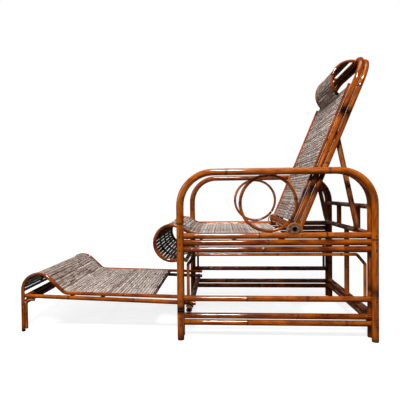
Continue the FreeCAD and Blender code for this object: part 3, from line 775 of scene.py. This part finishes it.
def slat_blank(half, joints):
    """A slat across X with its skin on top, with rounded edges and low joints."""
    bpy.ops.object.select_all(action="DESELECT")
    bpy.ops.mesh.primitive_cube_add(size=1.0)
    made = bpy.context.object
    made.scale = (2 * half, slat_width, slat_thick)
    bpy.ops.object.transform_apply(location=True, rotation=True, scale=True)
    corners = made.data.vertices
    pick(made, "edges", lambda edge: all(corners[i].co.z > 0 for i in edge.vertices)
         and corners[edge.vertices[0]].co.x * corners[edge.vertices[1]].co.x < 0)
    bpy.ops.object.mode_set(mode="EDIT")
    bpy.ops.mesh.select_mode(type="EDGE")
    bpy.ops.mesh.bevel(offset=0.0022, segments=2, affect="EDGES")
    for joint in joints:
        for offset in (-0.005, -0.0012, 0.0012, 0.006):
            bpy.ops.mesh.select_all(action="SELECT")
            bpy.ops.mesh.bisect(plane_co=(joint + offset, 0.0, 0.0), plane_no=(1.0, 0.0, 0.0))
    bpy.ops.object.mode_set(mode="OBJECT")
    for vertex in made.data.vertices:
        near = min(abs(vertex.co.x - joint) for joint in joints)
        if near < 0.0015 and vertex.co.z > 0:
            vertex.co.z += 0.0003
    fibres = made.data.attributes.new("fibres", "FLOAT_VECTOR", "POINT")
    spots = made.data.attributes.new("spots", "FLOAT_VECTOR", "POINT")
    made.data.attributes.new("looks", "FLOAT_VECTOR", "POINT")
    for i, vertex in enumerate(made.data.vertices):
        near = min(abs(vertex.co.x - joint) for joint in joints)
        fibres.data[i].vector = vertex.co
        spots.data[i].vector = (1.0 if near < 0.0015 else 0.0, 0.0, 0.0)
    only(made)
    bpy.ops.object.shade_smooth_by_angle(angle=math.radians(40))
    return made


def slat_place(corners, inside):
    """Where a slat lies: its middle, the way across it and the way its skin faces."""
    middle = sum(corners, Vector()) / len(corners)
    start = corners[0]
    flat = [corner - start for corner in corners if abs(corner.x - start.x) < 1e-5]
    way = sorted(flat, key=lambda step: step.length)[2].normalized()
    outward = crosswise.cross(way)
    if outward.dot(middle - inside) < 0:
        way, outward = -way, -outward
    place = Matrix((crosswise, way, outward)).transposed().to_4x4()
    place.translation = middle
    return place


def slats(node, body, inside, tone=0.0, uneven=0.0004):
    """Every slat of a node, copied from three that have their joints in different places."""
    chance = random.Random(node)
    solids = solids_of(node)
    half = max(corner.x for corner in solids[0])
    blanks = [slat_blank(half, (half * chance.uniform(-0.8, -0.1), half * chance.uniform(0.1, 0.8)))
              for _ in range(3)]
    pieces = []
    for corners in solids:
        mesh = chance.choice(blanks).data.copy()
        turned = Matrix.Rotation(chance.uniform(-0.0012, 0.0012), 4, "Z")
        if chance.random() < 0.5:
            turned = turned @ Matrix.Rotation(math.pi, 4, "Z")
        shrunk = Matrix.Diagonal((1.0 - chance.uniform(0.0, slat_length_play) / half,
                                  chance.uniform(0.90, 1.0), 1.0, 1.0))
        shift = Matrix.Translation((0.0, chance.uniform(-uneven, uneven), 0.0))
        mesh.transform(slat_place(corners, inside) @ shift @ turned @ shrunk)
        fibres = mesh.attributes["fibres"]
        looks = mesh.attributes["looks"]
        along_shift = chance.uniform(0.0, 90.0)
        own_tone = tone + chance.uniform(-0.07, 0.07)
        for i in range(len(mesh.vertices)):
            fibres.data[i].vector += Vector((along_shift, 0.0, 0.0))
            looks.data[i].vector = (0.0, own_tone, 0.0)
        piece = bpy.data.objects.new(node, mesh)
        bpy.context.scene.collection.objects.link(piece)
        pieces.append(piece)
    for blank in blanks:
        bpy.data.objects.remove(blank)
    made = join(pieces, node + "_all")
    made.data.materials.append(bleached_slats)
    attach(made, body)
    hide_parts(node)


scroll_middle = at(0, scroll_y, scroll_z)
slats("seat_slats", "base", scroll_middle, 0.10)
slats("scroll_slats", "base", scroll_middle)

# Back: a thick pole with hollow ends turns in the straps. Two hoops stand on it, a thick one
# in front and a thinner one behind, and thin poles cover the ends of the slats between.
lean = Quaternion(crosswise, math.radians(67.3 - 90.0))
pivot = at(0, pivot_y, pivot_z)


def on_back(x, offset, place):
    """A place on the back: millimetres across, rearwards from the pivot and up along it."""
    return pivot + lean @ Vector((x / 1000, offset / 1000, place / 1000))


hoop_top, hoop_bend = 725.5, 108.0
for node, offset, thick, foot, joints, burns in (
        ("back_front_hoop", 6.8, 23.0, 6.0, (167, 618, 900, 1180, 1600), ((476, 30, 1.0), (197, 34, 0.9))),
        ("back_rear_hoop", 28.4, 20.0, 0.0, (280, 596, 1010, 1300, 1560), ((476, 30, 1.0), (215, 16, 0.9)))):
    post_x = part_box(node)[1].x * 1000 - thick / 2
    line = bent_line((on_back(post_x, offset, foot), 0), (on_back(post_x, offset, hoop_top), hoop_bend),
                     (on_back(-post_x, offset, hoop_top), hoop_bend), (on_back(-post_x, offset, foot), 0))
    length = sum(stretch.length for stretch in line) * 1000
    bamboo(node, node, "back", line, thick, joints,
           [*burns, *[(length - place, half, power) for place, half, power in burns], (700, 70, 0.4)])
pivot_thick, pivot_bore = 38.0, 19.0
line, _ = along(solids_of("pivot_pole")[0], crosswise)
bamboo("pivot_pole", "pivot_pole", "back", line, pivot_thick, (70, 330, 524),
       ((20, 40, 0.5), (574, 40, 0.5)), (pivot_bore, pivot_bore))
straight_poles("prop_hinge_pole", "back", crosswise)
up_back = lean @ upright
straight_poles("back_cover_poles", "back", up_back)
for i, corners in enumerate(solids_of("back_battens")):
    line, _ = along(corners, up_back)
    made = strip("back_batten_" + str(i), "back_battens", "back", line, 18.0, 4.0)
slats("back_slats", "back", on_back(0, 200, 300), 0.0)

# Headrest: slats are nailed across two thin poles that are bent round to the front. Their
# lower ends stand on the back's slats and their upper ends meet its top bar.
roll_middle_offset, roll_middle_place, roll_radius = 13.0, 650.0, 77.75
roll_pole, roll_ring_x = 12.5, 125.0
ring_low, ring_high = math.radians(-71 - 90), math.radians(88 - 90)
roll_middle = on_back(0, roll_middle_offset, roll_middle_place)
for i, x in enumerate((-roll_ring_x, roll_ring_x)):
    arm = lean @ (Vector((0.0, math.sin(ring_low), math.cos(ring_low))) * roll_radius / 1000)
    line = [Bend(on_back(x, roll_middle_offset, roll_middle_place), -crosswise, ring_high - ring_low, arm)]
    bamboo("headrest_ring_" + str(i), "headrest_rings", "back", line, roll_pole, (90,),
           ((0, 45, 0.9),))
slats("headrest_slats", "back", roll_middle, -0.05)

# Prop: a pole bent like a bail hangs from the thin pole behind the back. Its crosspiece
# stands against the rear seat bar and holds the back up.
prop_x, prop_bend, prop_overhang = 215.0, 36.0, 14.0
hinge_offset, hinge_place, prop_thick = 27.0, 398.0, 21.0
hinge = on_back(0, hinge_offset, hinge_place)
foot = at(0, 684.0, 398.0)
top = hinge - (foot - hinge).normalized() * prop_overhang / 1000
reach = crosswise * prop_x / 1000
line = bent_line((top + reach, 0), (foot + reach, prop_bend), (foot - reach, prop_bend), (top - reach, 0))
bamboo("prop", "prop", "prop", line, prop_thick, (215, 480, 950, 1180),
       ((0, 30, 0.5),), (9.0, 9.0), ((630, 340, 1.0),), 0.25, 0.02)

# Footrest: a pole on each side is a leg, a rounded hump and a long rail in one piece. A
# straight rail lies under it, and a short bent brace stands behind the leg.
foot_leg_y, hump_height, hump_radius = -647.0, 165.0, 66.0
hump_angle = math.radians(43)
dip_height, dip_bend, foot_tail_y, foot_tail_z = 155.4, 35.0, 52.0, 141.0


def foot_line(x, outward=0.0):
    """The line of the footrest's side pole, or one that lies further out all along it."""
    radius = hump_radius + outward
    corner_z = hump_height + radius * math.tan(math.pi / 4 + hump_angle / 2)
    leave_y = foot_leg_y + hump_radius + radius * math.sin(hump_angle)
    leave_z = hump_height + radius * math.cos(hump_angle)
    dip_y = leave_y + (leave_z - dip_height - outward) / math.tan(hump_angle)
    return bent_line((at(x, foot_leg_y - outward, 0), 0), (at(x, foot_leg_y - outward, corner_z), radius),
                     (at(x, dip_y, dip_height + outward), dip_bend - outward),
                     (at(x, foot_tail_y, foot_tail_z + outward), 0))


low_start, low_end = at(0, -639.5, 144.0), at(0, 52.0, 118.0)
brace_y, brace_low, brace_bend, brace_reach, brace_thick = -633.4, 12.0, 20.0, 34.0, 12.0
low_way = (low_end - low_start).normalized()
low_thick = 17.0
for name, side in sides:
    node = name + "_footrest_pole"
    x, foot_thick = across_box(node)
    bamboo(node, node, "footrest", foot_line(x), foot_thick, (110, 640, 860),
           ((0, 20, 0.7), (225, 60, 0.5), (380, 40, 0.6), (960, 60, 0.5)), (6.0, 6.0))
    node = name + "_footrest_low_rail"
    line, _ = along(solids_of(node)[0], low_way)
    bamboo(node, node, "footrest", line, low_thick, (182, 445), ((640, 60, 0.5),), (7.0, 7.0))
    node = name + "_footrest_brace"
    top = solids_of(node)[0]
    brace_top = (max(corner.z for corner in top) * 1000) - brace_thick / 2
    line = bent_line((at(x, brace_y, brace_low), 0), (at(x, brace_y, brace_top), brace_bend),
                     (at(x, brace_y + brace_reach, brace_top), 0))
    bamboo(node, node, "footrest", line, brace_thick, (60,), (), (5.0, 5.0))
straight_poles("footrest_cross_bars", "footrest", crosswise, worn=0.5)
straight_poles("footrest_front_bars", "footrest", crosswise, tone=-0.1)

# Slide bar: a thick hollow-ended pole lies across on the lowest rails and carries the rear
# end of the footrest. A bent strip on each side ties it to the rail above.
slide_thick = 23.0
line, _ = along(solids_of("footrest_slide_bar")[0], crosswise)
bamboo("footrest_slide_bar", "footrest_slide_bar", "footrest", line, slide_thick, (60, 300, 530),
       ((12, 25, 0.6), (580, 25, 0.6)), (14.0, 14.0), (), 0.9, -0.03)
slide_y, slide_z, loop_radius = 30.0, 106.35, 13.6
loop_half = math.radians(75)
loop_x, _ = across_box("left_inner_hoop")
for i, x in enumerate((-loop_x, loop_x)):
    arm = Vector((0.0, -math.sin(loop_half), math.cos(loop_half))) * loop_radius / 1000
    line = [Bend(at(x, slide_y, slide_z), -crosswise, 2 * loop_half, arm)]
    strip("slide_bar_loop_" + str(i), "slide_bar_loops", "footrest", line, 12.0, 4.0)

# Footrest slats: they follow the side poles over the hump and along the rails, and lie on
# two battens that are bent the same way.
batten_line_drop = -2.4
slats_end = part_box("footrest_battens")[1].y
for i, x in enumerate((-90.0, 90.0)):
    line = foot_line(x, batten_line_drop)[1:]
    last = line.pop()
    share = (slats_end - last.start.y) / last.way.y
    strip("footrest_batten_" + str(i), "footrest_battens", "footrest",
          line + [Straight(last.start, last.start + last.way * share)], 18.0, 4.0)
foot_inside = at(0, -560.0, 60.0)
slats("footrest_hump_slats", "footrest", foot_inside, -0.03)
slats("footrest_slats", "footrest", foot_inside)
